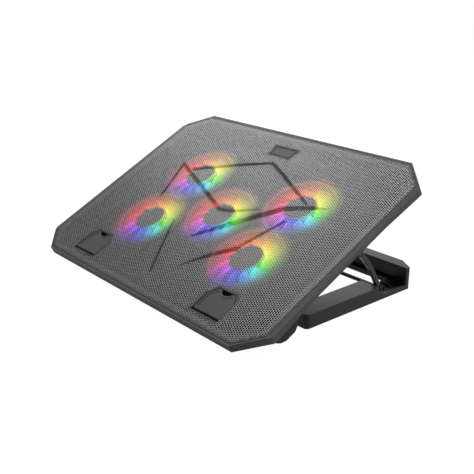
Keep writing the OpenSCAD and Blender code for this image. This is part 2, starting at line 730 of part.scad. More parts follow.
// One point of a blade: s runs from root to tip, t along the chord, side is -1 or 1
blade_root_r = hub_d / 2 - hub_wall * 0.6;
function blade_point(s, t, side) =
    let (
        r = blade_root_r + s * (impeller_r - blade_root_r),
        pitch = blade_root_pitch + s * (blade_tip_pitch - blade_root_pitch),
        chord = (hub_h - blade_t - 1) / sin(pitch) * (0.92 - 0.1 * s),
        turn = blade_sweep * s + chord * t * cos(pitch) / r * 180 / PI,
        camber = 0.6 * (1 - 4 * t * t),
        z = chord * t * sin(pitch) + camber + side * blade_t / 2 * (1 - abs(t))
    )
    [r * cos(turn), r * sin(turn), impeller_z + hub_h / 2 + z];
module blade() {
    spans = 4;
    steps = 4;
    row = steps + 1;
    sheet = row * (spans + 1);
    grid = [
        for (side = [-1, 1], i = [0:spans], j = [0:steps]) blade_point(i / spans, j / steps - 0.5, side)
    ];
    function at(side, i, j) = side * sheet + i * row + j;
    function quad(a, b, c, d) = [[a, b, c], [a, c, d]];
    faces = concat(
        [for (i = [0:spans - 1], j = [0:steps - 1]) each quad(
            at(0, i, j), at(0, i + 1, j), at(0, i + 1, j + 1), at(0, i, j + 1))],
        [for (i = [0:spans - 1], j = [0:steps - 1]) each quad(
            at(1, i, j), at(1, i, j + 1), at(1, i + 1, j + 1), at(1, i + 1, j))],
        [for (i = [0:spans - 1]) each quad(at(0, i, 0), at(1, i, 0), at(1, i + 1, 0), at(0, i + 1, 0))],
        [for (i = [0:spans - 1]) each quad(
            at(0, i, steps), at(0, i + 1, steps), at(1, i + 1, steps), at(1, i, steps))],
        [for (j = [0:steps - 1]) each quad(at(0, 0, j), at(0, 0, j + 1), at(1, 0, j + 1), at(1, 0, j))],
        [for (j = [0:steps - 1]) each quad(
            at(0, spans, j), at(1, spans, j), at(1, spans, j + 1), at(0, spans, j + 1))]
    );
    polyhedron(points = grid, faces = faces);
}
module impeller(i) {
    color("#4a4a4c") at_fan(i) {
        translate([0, 0, impeller_z]) difference() {
            cylinder(d = hub_d, h = hub_h);
            translate([0, 0, -over]) cylinder(d = hub_d - 2 * hub_wall, h = hub_h - hub_wall + over);
            cylinder(d = shaft_d, h = hub_h + over);
        }
        for (b = [0:blade_count - 1]) rotate(b * 360 / blade_count) blade();
    }
}
module fan_shaft(i) {
    end_gap = 0.4;
    shaft_z = floor_z + motor_base_t + end_gap;
    color("silver") at_fan(i) translate([0, 0, shaft_z])
        cylinder(d = shaft_d, h = impeller_z + hub_h - end_gap - shaft_z);
}
module fan_motor(i) {
    poles = 4;
    pole_w = 6;
    stator_z = floor_z + motor_base_t + 1.4;
    color("#8a5a30") at_fan(i) difference() {
        union() {
            translate([0, 0, floor_z]) cylinder(d = motor_base_d, h = motor_base_t);
            translate([0, 0, floor_z]) cylinder(d = tube_d, h = tube_top - floor_z);
            translate([0, 0, stator_z]) linear_extrude(stator_h) {
                circle(d = stator_d / 2);
                intersection() {
                    circle(d = stator_d);
                    for (p = [0:poles - 1]) rotate(45 + p * 360 / poles) {
                        translate([0, -pole_w / 2]) square([stator_d, pole_w]);
                        translate([stator_d / 2 - 2, -pole_w]) square([stator_d, 2 * pole_w]);
                    }
                }
            }
        }
        translate([0, 0, floor_z + motor_base_t]) cylinder(d = shaft_d + 2 * run_gap, h = shroud_h);
    }
}
module light_ring(i) {
    color("#e8e8f0") at_fan(i) translate([0, 0, shroud_z]) difference() {
        cylinder(r = shroud_r + light_ring_over, h = light_ring_t);
        translate([0, 0, -over]) cylinder(d = fan_bore, h = light_ring_t + 2 * over);
    }
}

module control_board() {
    color("darkgreen") on_deck() {
        translate([-board_w / 2, board_y1 - board_d, board_z]) cube([board_w, board_d, board_t]);
        // Push switches behind the buttons
        for (side = [-1, 1]) translate([side * button_x - 3, switch_y - 4, board_top - weld])
            cube([6, 4, 6 + weld]);
        // Connectors for the fan wires
        for (x = [-fan_dx, 0, fan_dx]) translate([x - 3, board_y1 - board_d + 3, board_top - weld])
            cube([6, 4, 3 + weld]);
    }
}
module usb_socket(side) {
    shell_t = 0.4;
    tongue_t = 1.8;
    back_t = 4;
    inner = [socket_size.x - 2 * shell_t, socket_size.y, socket_size.z - 2 * shell_t];
    color("silver") on_deck()
        translate([side * socket_x, tray_y1 - socket_size.y, board_top]) {
            difference() {
                translate([-socket_size.x / 2, 0, 0]) cube(socket_size);
                translate([-inner.x / 2, back_t, shell_t]) cube(inner);
            }
            translate([-inner.x / 2 + shell_t, back_t - weld, shell_t + inner.z - tongue_t - shell_t])
                cube([inner.x - 2 * shell_t, socket_size.y - back_t - shell_t, tongue_t]);
        }
}
module push_button(x) {
    stem_y = switch_y + button_travel + 0.15;
    color("#202022") on_deck() translate([x, 0, button_z]) rotate([-90, 0, 0]) {
        translate([0, 0, stem_y]) cylinder(d = 3, h = rear_wall_in - stem_y);
        translate([0, 0, rear_wall_in - collar_gap - collar_t]) cylinder(d = button_d + 1.6, h = collar_t);
        translate([0, 0, rear_wall_in - collar_gap - weld])
            cylinder(d = button_d, h = tray_wall + collar_gap + weld + button_proud);
    }
}

// Routes of the flat twin leads along the tray's floor, from each motor to the control board
lead_w = 2 * wire_d - 0.4;
wire_side_x = fan_dx + shroud_r + 4;
wire_back_y = back_fan_y + shroud_r + 4;
board_front = board_y1 - board_d + 0.2;
wire_start = motor_base_d / 2;
wire_routes = concat(
    [for (side = [-1, 1]) [
        [side * (fan_dx + wire_start), front_fan_y],
        [side * wire_side_x, front_fan_y],
        [side * wire_side_x, wire_back_y],
        [side * (fan_dx + 4), wire_back_y],
        [side * (fan_dx + 4), board_front],
    ]],
    [for (i = [2:fan_count - 1]) [
        [fan_places[i].x, fan_places[i].y + wire_start],
        [fan_places[i].x, board_front],
    ]]
);
module fan_harness() {
    color("#202020") on_deck() translate([0, 0, floor_z]) linear_extrude(wire_d)
        for (route = wire_routes) band_2d(route, lead_w);
}

module cover_screws() {
    grip = 3;
    color("#b0b0b4") on_deck() for (p = screw_places)
        translate([p.x, p.y, screw_head_h - rim_h]) {
            translate([0, 0, -screw_head_h]) cylinder(d = screw_head_d, h = screw_head_h);
            cylinder(d = screw_d - 0.1, h = cover_t - screw_head_h + grip);
        }
}

module hinge_pin(side) {
    half = knuckle_w / 2 + lug_gap + lug_w;
    color("silver") on_deck() translate([side * knuckle_x, 0, 0])
        along_x(-half, half) translate([hinge_y, -hinge_depth]) circle(d = hinge_pin_d);
}
module prop_pin(side) {
    half = link_t / 2 + prop_gap + prop_lug_w;
    color("silver") on_deck() translate([side * link_x, 0, 0])
        along_x(-half, half) translate([prop_y, -prop_depth]) circle(d = rod_d);
}

// Slice of a link, drawn with its upper axis at the origin and its foot on the +X side
module link_slice(half) {
    along_x(-half, half) translate(prop_axis) rotate(-prop_lean) children();
}
module prop_link(side) {
    half = link_t / 2;
    bend = [link_bend_l, link_bend];
    foot = [prop_l, 0];
    hook = [
        for (t = [0:0.2:1])
            between(between([0, 0], bend, 0.3 + 0.7 * t), between(bend, foot, 0.5 * t), t)
    ];
    color("#262628") translate([side * link_x, 0, 0]) difference() {
        union() {
            link_slice(half) circle(r = link_eye_r);
            link_slice(half) band_2d(concat([[0, 0]], hook, [foot]), link_bar);
            link_slice(half) translate(foot) circle(r = link_foot_r);
        }
        link_slice(half + over) circle(d = rod_d + 2 * run_gap);
        link_slice(half + over) translate(foot) circle(d = rod_d);
    }
}
module prop_rod() {
    half = link_x1 + rod_over;
    color("#1c1c1e") along_x(-half, half) translate([rod_y, rod_h]) circle(d = rod_d);
}

foot_places = [
    for (side = [-1, 1], y = [base_y0 + 10, base_y1 - rear_bar_d / 2 - 0.5])
        [side * (base_w / 2 - arm_w / 2 - (y > base_y0 + 20 ? 6 : 0)), y]
];
arm_x0 = base_w / 2 - arm_w;
slot_half = link_x1 + rod_over + 0.8;
module base_outline_2d() {
    half = base_w / 2;
    polygon([
        [-half, base_y0 + base_corner_r], [-half + base_corner_r, base_y0],
        [half - base_corner_r, base_y0], [half, base_y0 + base_corner_r],
        [half, base_y1 - rear_cut_y], [half - rear_cut_x, base_y1],
        [rear_cut_x - half, base_y1], [-half, base_y1 - rear_cut_y],
    ]);
    for (side = [-1, 1])
        translate([side * (half - base_corner_r), base_y0 + base_corner_r]) circle(r = base_corner_r);
}
module base_layer(z0, z1, y0, y1, x0) {
    translate([0, 0, z0]) linear_extrude(z1 - z0) intersection() {
        base_outline_2d();
        for (side = [0, 1]) mirror([side, 0]) translate([x0, y0]) square([base_w, y1 - y0]);
    }
}
// Ratchet tooth beside the path of a link's foot
module tooth_2d() {
    polygon([
        [-tooth_w / 2, notch_floor - weld], [tooth_w / 2, notch_floor - weld],
        [tooth_w / 4, tooth_top], [-tooth_w / 4, tooth_top],
    ]);
}
// Way of a round piece on the rod's axis, from the room in front of it back to the rear bar
module rod_way(x0, x1, r) {
    translate([x0 - way_gap, rod_y - rod_room, rod_h - r - way_gap])
        cube([x1 - x0 + 2 * way_gap, rear_bar_y - rod_y + rod_room, arm_h]);
}
// Hollows under the arms and the front bar, with cross ribs left standing
module base_pockets() {
    arm_hollow = min(arm_l, rod_y - rod_room - base_y0) - front_bar_d - stand_wall;
    arm_cell = arm_hollow / arm_cells;
    bar_hollow = 2 * arm_x0;
    bar_cell = bar_hollow / bar_cells;
    for (side = [0, 1], i = [0:arm_cells - 1]) mirror([side, 0, 0])
        translate([arm_x0 + stand_wall, base_y0 + front_bar_d + i * arm_cell, -over])
            cube([arm_w - 2 * stand_wall, arm_cell - stand_wall, arm_h - stand_wall + over]);
    for (i = [0:bar_cells - 1])
        translate([-arm_x0 + i * bar_cell + stand_wall / 2, base_y0 + stand_wall, -over])
            cube([bar_cell - stand_wall, front_bar_d - 2 * stand_wall, arm_h - stand_wall + over]);
}
module base_frame() {
    color("#4c4c4e") difference() {
        union() {
            base_layer(foot_proud, arm_h, base_y0, base_y0 + front_bar_d, 0);
            base_layer(foot_proud, arm_h, base_y0, base_y0 + arm_l, arm_x0);
            base_layer(foot_proud, notch_floor, base_y0 + arm_l - weld, rear_bar_y + weld, arm_x0);
            base_layer(foot_proud, notch_lip, base_y0 + arm_l - weld, rear_bar_y + weld, base_w / 2 - lip_t);
            base_layer(foot_proud, rear_bar_h, rear_bar_y, base_y1, 0);
            for (side = [0, 1]) mirror([side, 0, 0]) {
                for (i = [0:notch_count])
                    along_x(arm_x0, link_x0 - 1)
                        translate([rod_y + (i - 0.5) * notch_pitch, 0]) tooth_2d();
                along_x(knuckle_x0, knuckle_x1) {
                    translate([hinge_world_y, hinge_h]) circle(r = lug_r);
                    translate([hinge_world_y, hinge_h - lug_r])
                        square([base_front + weld, arm_h - hinge_h + lug_r]);
                }
            }
        }
        along_x(-base_w / 2, base_w / 2)
            translate([hinge_world_y, hinge_h]) circle(d = hinge_pin_d + 2 * run_gap);
        translate([-slot_half, rear_bar_y - over, slot_low])
            cube([2 * slot_half, slot_depth + over, slot_high - slot_low]);
        // The rod and the links stay free where the arms are longer
        for (side = [0, 1]) mirror([side, 0, 0]) {
            rod_way(link_x0, link_x1, link_foot_r);
            rod_way(arm_x0, link_x1 + rod_over, rod_d / 2);
        }
        base_pockets();
        for (p = foot_places) translate([p.x, p.y, 0]) cylinder(d = foot_d, h = foot_proud + foot_seat);
    }
}
module base_feet() {
    color("#151515") for (p = foot_places)
        translate([p.x, p.y, 0]) cylinder(d = foot_d, h = foot_proud + foot_seat);
}

mesh_panel();
deck_frame();
bottom_cover();
name_plate();
stop_housing(-1);  // stop_housing_left
stop_housing(1);  // stop_housing_right
stop_flap(-1);  // stop_left
stop_flap(1);  // stop_right
stop_pin(-1);  // stop_pin_left
stop_pin(1);  // stop_pin_right
for (i = [1:fan_count]) {
    impeller(i);
    fan_shaft(i);
    fan_motor(i);
    light_ring(i);
}
control_board();
usb_socket(-1);  // usb_socket_left
usb_socket(1);  // usb_socket_right
push_button(-button_x);  // fan_button
push_button(button_x);  // light_button
fan_harness();
cover_screws();
hinge_pin(-1);  // hinge_pin_left
hinge_pin(1);  // hinge_pin_right
prop_pin(-1);  // prop_pin_left
prop_pin(1);  // prop_pin_right
prop_link(-1);  // prop_link_left
prop_link(1);  // prop_link_right
prop_rod();
base_frame();
base_feet();
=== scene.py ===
"""Looks of the laptop cooling pad: a perforated lit deck on a folding stand."""

import colorsys
import math

import bmesh
import bpy
import numpy as np
from mathutils import Matrix, Vector
from mathutils.geometry import delaunay_2d_cdt


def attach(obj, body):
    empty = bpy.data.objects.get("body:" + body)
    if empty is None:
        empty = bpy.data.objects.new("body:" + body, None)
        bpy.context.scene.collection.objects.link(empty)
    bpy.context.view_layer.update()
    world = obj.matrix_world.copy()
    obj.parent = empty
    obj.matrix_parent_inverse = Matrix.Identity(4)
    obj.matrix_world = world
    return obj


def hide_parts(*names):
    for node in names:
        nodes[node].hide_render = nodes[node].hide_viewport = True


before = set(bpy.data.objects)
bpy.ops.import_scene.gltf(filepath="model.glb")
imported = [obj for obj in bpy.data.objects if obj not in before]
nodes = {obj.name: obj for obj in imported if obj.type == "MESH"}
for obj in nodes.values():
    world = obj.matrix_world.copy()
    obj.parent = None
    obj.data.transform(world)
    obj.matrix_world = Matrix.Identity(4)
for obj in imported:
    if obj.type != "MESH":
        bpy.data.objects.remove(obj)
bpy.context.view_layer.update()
MM = 0.001

# Tilt and sizes shared with part.scad, in millimetres
TILT = math.radians(26.8)
DECK_W, DECK_D = 360.0, 257.0
RIM_H, RIM_BEVEL, RIM_LIP, CORNER_LIP = 8.0, 5.0, 2.0, 1.5
FRONT_CUT, BACK_CUT = (28.0, 25.5), (30.0, 28.5)
HINGE_Y, HINGE_DEPTH, HINGE_H = 59.0, 27.0, 9.8
MESH_T, MESH_GAP = 0.8, 0.3
TRAY_DEPTH, COVER_T = 12.0, 2.0
GUARD_BARS = 14
STOP_X, STOP_FRONT, STOP_W, STOP_D = 103.0, 16.3, 36.0, 28.7
STOP_CUT = (7.0, 9.0)
STOP_GAP, STOP_NOSE = 0.6, 1.6
PLATE_W, PLATE_D, PLATE_BACK, PLATE_TAPER = 33.0, 13.6, 29.0, 2.0
FAN_DX, FAN_DY, FAN_Y, FAN_LEAD = 78.0, 38.6, 129.0, 4.0
HUB_R, FAN_R = 16.5, 36.0
FANS = [
    (-FAN_DX, FAN_Y - FAN_DY), (FAN_DX, FAN_Y - FAN_DY), (0.0, FAN_Y - FAN_LEAD),
    (-FAN_DX, FAN_Y + FAN_DY), (FAN_DX, FAN_Y + FAN_DY),
]

# Deck frame: X across, Y up the slope from the front edge, Z out of the mesh
hinge_world_y = -((DECK_D - 2 * HINGE_Y) * math.cos(TILT)
                  - (2 * HINGE_DEPTH - RIM_H) * math.sin(TILT)) / 2
DECK = (Matrix.Translation((0, hinge_world_y * MM, HINGE_H * MM))
        @ Matrix.Rotation(TILT, 4, "X")
        @ Matrix.Translation((0, -HINGE_Y * MM, HINGE_DEPTH * MM))
        @ Matrix.Scale(MM, 4))


# Building blocks of materials

def shader(name, base, roughness, metallic=0.0, shine=0.5):
    """A material with its node tree and its Principled node."""
    material = bpy.data.materials.new(name)
    material.use_nodes = True
    tree = material.node_tree
    principled = tree.nodes["Principled BSDF"]
    principled.inputs["Base Color"].default_value = (*base, 1)
    principled.inputs["Roughness"].default_value = roughness
    principled.inputs["Metallic"].default_value = metallic
    principled.inputs["Specular IOR Level"].default_value = shine
    return material, tree, principled


def feed(tree, socket, value):
    """Links an input to another node's output, or stores a value in it."""
    if isinstance(value, bpy.types.NodeSocket):
        tree.links.new(value, socket)
    else:
        socket.default_value = value


def add(tree, kind, **inputs):
    """A node with its inputs fed by name."""
    made = tree.nodes.new(kind)
    for key, value in inputs.items():
        feed(tree, made.inputs[key.replace("_", " ")], value)
    return made


def maths(tree, kind, operation, *values):
    """A node of the Math or VectorMath kind, with its inputs fed in order."""
    made = tree.nodes.new(kind)
    made.operation = operation
    for socket, value in zip(made.inputs, values):
        feed(tree, socket, value)
    return made


def blend(tree, factor, first, second):
    """A mix of two colours."""
    made = tree.nodes.new("ShaderNodeMix")
    made.data_type = "RGBA"
    for key, value in (("Factor", factor), ("A", first), ("B", second)):
        feed(tree, made.inputs[key], value)
    return made.outputs["Result"]


def ramp(tree, factor, stops):
    """A colour ramp over stops of (position, grey level or colour)."""
    made = add(tree, "ShaderNodeValToRGB", Fac=factor)
    elements = made.color_ramp.elements
    while len(elements) < len(stops):
        elements.new(0.5)
    for element, (position, level) in zip(elements, stops):
        element.position = position
        element.color = (*level, 1) if isinstance(level, tuple) else (level, level, level, 1)
    return made.outputs["Color"]


def coordinate(tree, kind):
    """A texture coordinate: the place on the object, or its normal there."""
    return tree.nodes.new("ShaderNodeTexCoord").outputs[kind]


def attribute(tree, name, kind):
    """A value that the mesh holds for each vertex."""
    made = tree.nodes.new("ShaderNodeAttribute")
    made.attribute_name = name
    return made.outputs[kind]


def roughen(tree, principled, grain, strength, distance):
    """Fine relief from a noise."""
    bump = add(tree, "ShaderNodeBump", Strength=strength, Distance=distance, Height=grain)
    tree.links.new(bump.outputs["Normal"], principled.inputs["Normal"])


def glow_by_vertex(tree, principled, strength):
    """Light in the colours that the mesh holds as its glow."""
    tree.links.new(attribute(tree, "glow", "Color"), principled.inputs["Emission Color"])
    principled.inputs["Emission Strength"].default_value = strength


# Materials

def moulded(name, base, roughness, grain=0.05, shine=0.25):
    """Moulded plastic with a fine spark-eroded texture and a little unevenness of tone."""
    tone, spread = 0.10, 0.07
    material, tree, principled = shader(name, base, roughness, shine=shine)
    place = coordinate(tree, "Object")
    fine = add(tree, "ShaderNodeTexNoise", Vector=place, Scale=1500.0, Detail=3.0).outputs["Fac"]
    broad = add(tree, "ShaderNodeTexNoise", Vector=place, Scale=18.0, Detail=4.0).outputs["Fac"]
    low = tuple(c * (1 - tone) for c in base)
    high = tuple(c * (1 + tone) for c in base)
    tree.links.new(ramp(tree, broad, [(0.3, low), (0.7, high)]), principled.inputs["Base Color"])
    rough = ramp(tree, fine, [(0.25, roughness - spread), (0.75, roughness + spread)])
    tree.links.new(rough, principled.inputs["Roughness"])
    roughen(tree, principled, fine, grain, 0.4 * MM)
    return material


def cover_material():
    """Plastic of the cover, with painted shade: the faces inside it that look up through the sheet are
    turned black.
    """
    material = moulded("cover_plastic", (0.04, 0.04, 0.041), 0.6, shine=0.1)
    tree = material.node_tree
    colour = tree.nodes["Principled BSDF"].inputs["Base Color"]
    upward = DECK.to_3x3().col[2].normalized()
    # Painted shade: faces that look up through the sheet are blended to near black
    facing = maths(tree, "ShaderNodeVectorMath", "DOT_PRODUCT", coordinate(tree, "Normal"), upward)
    inner = ramp(tree, facing.outputs["Value"], [(0.3, 0.0), (0.6, 1.0)])
    with_painted_shade = blend(tree, inner, colour.links[0].from_socket, (0.008, 0.008, 0.008, 1))
    tree.links.new(with_painted_shade, colour)
    return material


def drawn_metal(name, base, roughness):
    """Bare metal with fine drawing marks along X."""
    material, tree, principled = shader(name, base, roughness, metallic=1.0)
    along = add(tree, "ShaderNodeMapping", Vector=coordinate(tree, "Object"), Scale=(1.0, 60.0, 60.0))
    noise = add(tree, "ShaderNodeTexNoise", Vector=along.outputs["Vector"], Scale=120.0, Detail=3.0)
    marks = noise.outputs["Fac"]
    rough = ramp(tree, marks, [(0.3, roughness - 0.08), (0.7, roughness + 0.10)])
    tree.links.new(rough, principled.inputs["Roughness"])
    roughen(tree, principled, marks, 0.08, 0.2 * MM)
    return material


# Hue of the lights round a fan: deck angle in degrees against hue
HUES = [(-180, 361), (-140, 333), (-100, 268), (-60, 222), (-20, 171), (0, 106), (20, 72), (60, 54),
        (100, 32), (140, 17), (180, 1)]
SATURATION, DISPLAY_GAMMA = 0.8, 2.2
# Radius at which the light inside the fans has faded out, and its fade from the hub to there
LIGHT_REACH = FAN_R + 6
LIGHT_FADE = [(0.0, 0.0), (0.04, 1.0), (0.35, 0.5), (0.7, 0.1), (1.0, 0.0)]


def glow_colour(angle):
    """Linear colour of the lights at one angle round a fan, in degrees."""
    hue = np.interp(angle, [a for a, _ in HUES], [h for _, h in HUES])
    shown = colorsys.hsv_to_rgb((hue % 360) / 360, SATURATION, 1.0)
    return tuple(c ** DISPLAY_GAMMA for c in shown)


def lit_material(name, base, roughness, centre, inner, strength):
    """Plastic lit from within in rainbow colours, from a radius round a fan's axis outward."""
    material, tree, principled = shader(name, base, roughness, shine=0.1)
    local = add(tree, "ShaderNodeMapping", Vector=coordinate(tree, "Object"),
                Location=DECK @ Vector((*centre, 0)), Rotation=(TILT, 0, 0))
    local.vector_type = "TEXTURE"
    place = local.outputs["Vector"]
    turn = add(tree, "ShaderNodeTexGradient", Vector=place)
    turn.gradient_type = "RADIAL"
    stops = [((a + 180) / 360, glow_colour(a)) for a in range(-180, 181, 30)]
    colour = ramp(tree, turn.outputs["Fac"], stops)
    flat = maths(tree, "ShaderNodeVectorMath", "MULTIPLY", place, (1, 1, 0))
    radius = maths(tree, "ShaderNodeVectorMath", "LENGTH", flat.outputs["Vector"])
    reach = add(tree, "ShaderNodeMapRange", Value=radius.outputs["Value"],
                From_Min=inner * MM, From_Max=LIGHT_REACH * MM)
    level = ramp(tree, reach.outputs["Result"], [(t, strength * share) for t, share in LIGHT_FADE])
    tree.links.new(colour, principled.inputs["Emission Color"])
    tree.links.new(level, principled.inputs["Emission Strength"])
    return material


def speckled(tree):
    """Fine speckle of the sheet's paint."""
    noise = add(tree, "ShaderNodeTexNoise", Vector=coordinate(tree, "Object"), Scale=900.0, Detail=2.0)
    return noise.outputs["Fac"]


def sheet_material():
    """Painted perforated steel, with painted glow round the fans from the lights below it and painted
    shade in the creases.
    """
    material, tree, principled = shader("mesh_paint", (0.3, 0.3, 0.31), 0.38, metallic=0.55)
    speckle = speckled(tree)
    paint = ramp(tree, speckle, [(0.3, (0.26, 0.26, 0.265)), (0.7, (0.31, 0.31, 0.315))])
    # Painted shade: the paint turns near black along the creases
    creased = blend(tree, attribute(tree, "crease", "Fac"), paint, (0.012, 0.012, 0.013, 1))
    tree.links.new(creased, principled.inputs["Base Color"])
    rough = ramp(tree, speckle, [(0.3, 0.33), (0.7, 0.45)])
    tree.links.new(rough, principled.inputs["Roughness"])
    glow_by_vertex(tree, principled, 1.0)
    return material


def hole_wall_material():
    """Walls of the holes, painted near black as shade, which show the light of the fans below as painted
    glow.
    """
    # Painted shade: the walls are near black, and the glow on them is painted light
    material, tree, principled = shader("hole_wall", (0.01, 0.01, 0.01), 0.6, shine=0.25)
    rough = ramp(tree, speckled(tree), [(0.3, 0.5), (0.7, 0.7)])
    tree.links.new(rough, principled.inputs["Roughness"])
    glow_by_vertex(tree, principled, 0.9)
    return material


deck_plastic = moulded("deck_plastic", (0.115, 0.115, 0.117), 0.5, shine=0.02)
cover_plastic = cover_material()
base_plastic = moulded("base_plastic", (0.02, 0.02, 0.021), 0.42, shine=0.15)
stop_plastic = moulded("stop_plastic", (0.024, 0.024, 0.025), 0.4, grain=0.03)
# Dark plastic of the stops' pockets, made near black as painted shade for the shadowed gap round the flaps
tray_painted_shade = moulded("stop_tray", (0.005, 0.005, 0.005), 0.6, shine=0.1)
link_plastic = moulded("link_plastic", (0.016, 0.016, 0.017), 0.35)
button_plastic = moulded("button_plastic", (0.012, 0.012, 0.013), 0.4)
wire_skin = moulded("wire_skin", (0.01, 0.01, 0.01), 0.6, shine=0.05)
foot_rubber = moulded("foot_rubber", (0.012, 0.012, 0.012), 0.8)
board_mask = moulded("board_mask", (0.008, 0.03, 0.013), 0.5, grain=0.02, shine=0.1)
copper = drawn_metal("copper_windings", (0.55, 0.25, 0.11), 0.4)
steel = drawn_metal("pin_steel", (0.6, 0.6, 0.62), 0.28)
dark_steel = drawn_metal("shaft_steel", (0.08, 0.08, 0.083), 0.4)
nickel = drawn_metal("socket_nickel", (0.07, 0.07, 0.073), 0.45)
rod_paint = moulded("rod_paint", (0.012, 0.012, 0.013), 0.3, grain=0.02)
# Painted shade: the sheet's plain border is near black, for the shadowed gap along the rim, the stops and
# the plate
sheet_edge_shade = moulded("sheet_edge_shade", (0.008, 0.008, 0.008), 0.6)
plate_rim = moulded("plate_rim", (0.004, 0.004, 0.004), 0.6)
plate_face = moulded("plate_face", (0.055, 0.052, 0.052), 0.5, grain=0.02, shine=0.1)


# Materials and softened edges of the CAD nodes

WELD_GAP = 0.01
SHARP_EDGE = math.radians(35)
# An impeller's hub stays dark this far past its radius
HUB_SKIN = 0.3


def round_edges(piece, width):
    """Softens a piece's sharp edges by a bevel."""
    bevel = piece.modifiers.new("round", "BEVEL")
    bevel.width = width * MM
    bevel.segments = 2
    bevel.limit_method = "ANGLE"
    bevel.angle_limit = SHARP_EDGE


def dress(name, material, bevel=0.0):
    """Gives a CAD node its material and, where asked, softened edges."""
    piece = nodes[name]
    piece.data.materials.clear()
    piece.data.materials.append(material)
    if bevel:
        weld = piece.modifiers.new("weld", "WELD")
        weld.merge_threshold = WELD_GAP * MM
        round_edges(piece, bevel)


dress("deck_frame", deck_plastic, 0.35)
dress("bottom_cover", cover_plastic)
dress("base_frame", base_plastic, 0.6)
dress("base_feet", foot_rubber, 0.3)
dress("control_board", board_mask)
dress("fan_harness", wire_skin)
dress("cover_screws", steel)
dress("prop_rod", rod_paint)
for side in ("left", "right"):
    dress(f"stop_{side}", stop_plastic, 0.3)
    dress(f"stop_housing_{side}", tray_painted_shade, 0.2)
    dress(f"stop_pin_{side}", steel)
    dress(f"hinge_pin_{side}", steel, 0.3)
    dress(f"prop_pin_{side}", dark_steel, 0.3)
    dress(f"prop_link_{side}", link_plastic, 1.5)
    dress(f"usb_socket_{side}", nickel)
for name in ("fan_button", "light_button"):
    dress(name, button_plastic, 0.3)
for i, centre in enumerate(FANS, 1):
    dress(f"fan_shaft_{i}", dark_steel)
    dress(f"fan_motor_{i}", copper)
    dress(f"impeller_{i}", lit_material(
        f"fan_plastic_{i}", (0.014, 0.014, 0.015), 0.5, centre, HUB_R + HUB_SKIN, strength=0.8))
    dress(f"light_ring_{i}", lit_material(
        f"light_{i}", (0.06, 0.06, 0.062), 0.4, centre, HUB_R, strength=0.6))


def new_object(name, data):
    """An object of the scene."""
    made = bpy.data.objects.new(name, data)
    bpy.context.scene.collection.objects.link(made)
    return made


# Outline and openings of the perforated sheet

PITCH_X, PITCH_Y = 2.241, 2.42
# A hole is a hexagon in its cell: half width at its tips, half width and half height of its flat sides
HOLE_TIP, HOLE_SIDE, HOLE_HIGH = 1.08, 0.76, 1.06
# The sheet lies a hair above the walls of the stops' pockets, which it covers
SHEET_T, SHEET_TOP = 0.4, 0.03
# Least width without holes along the outline, the stops and the name plate
PLAIN_EDGE, STOP_EDGE, PLATE_EDGE = 0.9, 0.5, 0.7
STRIPS = 4


def inner_cut(cut, side, lip, diagonal):
    """Legs of a corner cut when the sides, the ends and the cut itself are set in by these widths."""
    length = math.hypot(*cut)
    return (cut[0] - side - (lip * cut[0] - diagonal * length) / cut[1],
            cut[1] - side * cut[1] / cut[0] + diagonal * length / cut[0] - lip)


def sheet_outline(inset):
    """Outline of the sheet, counter-clockwise, set in from its seat in the frame."""
    side, lip, diagonal = RIM_BEVEL + inset, RIM_LIP + inset, CORNER_LIP + inset
    front = inner_cut(FRONT_CUT, side, lip, diagonal)
    back = inner_cut(BACK_CUT, side, lip, diagonal)
    half, low, high = DECK_W / 2 - side, lip, DECK_D - lip
    right = [(half - front[0], low), (half, low + front[1]),
             (half, high - back[1]), (half - back[0], high)]
    return right + [(-x, y) for x, y in reversed(right)]


def stop_window(side, grow):
    """Opening of a stop's pocket, grown past the flap."""
    half, top = STOP_W / 2 + grow, STOP_FRONT + STOP_D + grow
    low = STOP_FRONT - STOP_NOSE + STOP_GAP - grow
    knee = STOP_FRONT + STOP_D - STOP_CUT[1] + grow / 2
    inner = STOP_W / 2 - STOP_CUT[0] + grow / 2
    points = [(-half, low), (half, low), (half, knee), (inner, top), (-inner, top), (-half, knee)]
    return [(side * STOP_X + x, y) for x, y in points]


def plate_window(grow):
    """Outline of the name plate, grown."""
    y = DECK_D - PLATE_BACK
    wide, narrow = PLATE_W / 2 + grow, PLATE_W / 2 - PLATE_TAPER + grow
    return [(-narrow, y - PLATE_D / 2 - grow), (narrow, y - PLATE_D / 2 - grow),
            (wide, y + PLATE_D / 2 + grow), (-wide, y + PLATE_D / 2 + grow)]


def sheet_windows(stop_edge=0.0, plate_edge=0.0):
    """Openings of the sheet, with a plain edge round them where asked."""
    return [stop_window(-1, STOP_GAP + stop_edge), stop_window(1, STOP_GAP + stop_edge),
            plate_window(MESH_GAP + plate_edge)]


def inside(points, outline):
    """Which points lie inside a convex counter-clockwise outline."""
    keep = np.ones(len(points), bool)
    for a, b in zip(outline, outline[1:] + outline[:1]):
        keep &= (b[0] - a[0]) * (points[:, 1] - a[1]) - (b[1] - a[1]) * (points[:, 0] - a[0]) > 0
    return keep


def on_sheet(points, outline, windows):
    """Which points lie inside the outline and outside the windows."""
    keep = inside(points, outline)
    for window in windows:
        keep &= ~inside(points, window)
    return keep


